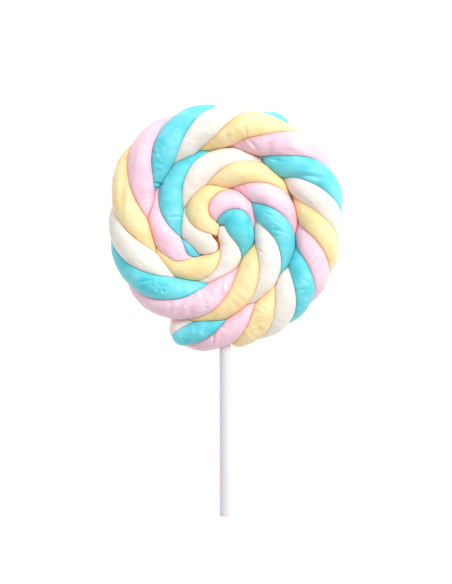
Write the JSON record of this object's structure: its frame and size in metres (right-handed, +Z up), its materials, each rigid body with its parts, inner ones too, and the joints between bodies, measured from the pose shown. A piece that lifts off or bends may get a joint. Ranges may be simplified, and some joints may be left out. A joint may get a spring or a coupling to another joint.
{
  "type": "marshmallow lollipop",
  "caption": "Soft twisted marshmallow rope in pastel colours, wound into a flat round coil on a straight white stick, lying on its back.",
  "frame": {"origin": "middle of the underside of the bounding box, on the surface that the lollipop lies on", "axes": "+Z up out of the shown face, +Y from the stick towards the top of the coil, +X to the right of the shown face"},
  "size_m": [0.1052, 0.186, 0.0227],
  "materials": {
    "marshmallow_white": "soft matte marshmallow dusted with fine starch, natural white",
    "marshmallow_blue": "soft matte marshmallow dusted with fine starch, turquoise blue",
    "marshmallow_pink": "soft matte marshmallow dusted with fine starch, pale rose pink",
    "marshmallow_yellow": "soft matte marshmallow dusted with fine starch, pale butter yellow",
    "stick": "smooth white lollipop stick, satin sheen"
  },
  "bodies": {
    "root": {"strand_white": "marshmallow_white", "strand_blue": "marshmallow_blue", "strand_pink": "marshmallow_pink", "strand_yellow": "marshmallow_yellow", "stick": "stick"}
  },
  "joints": []
}
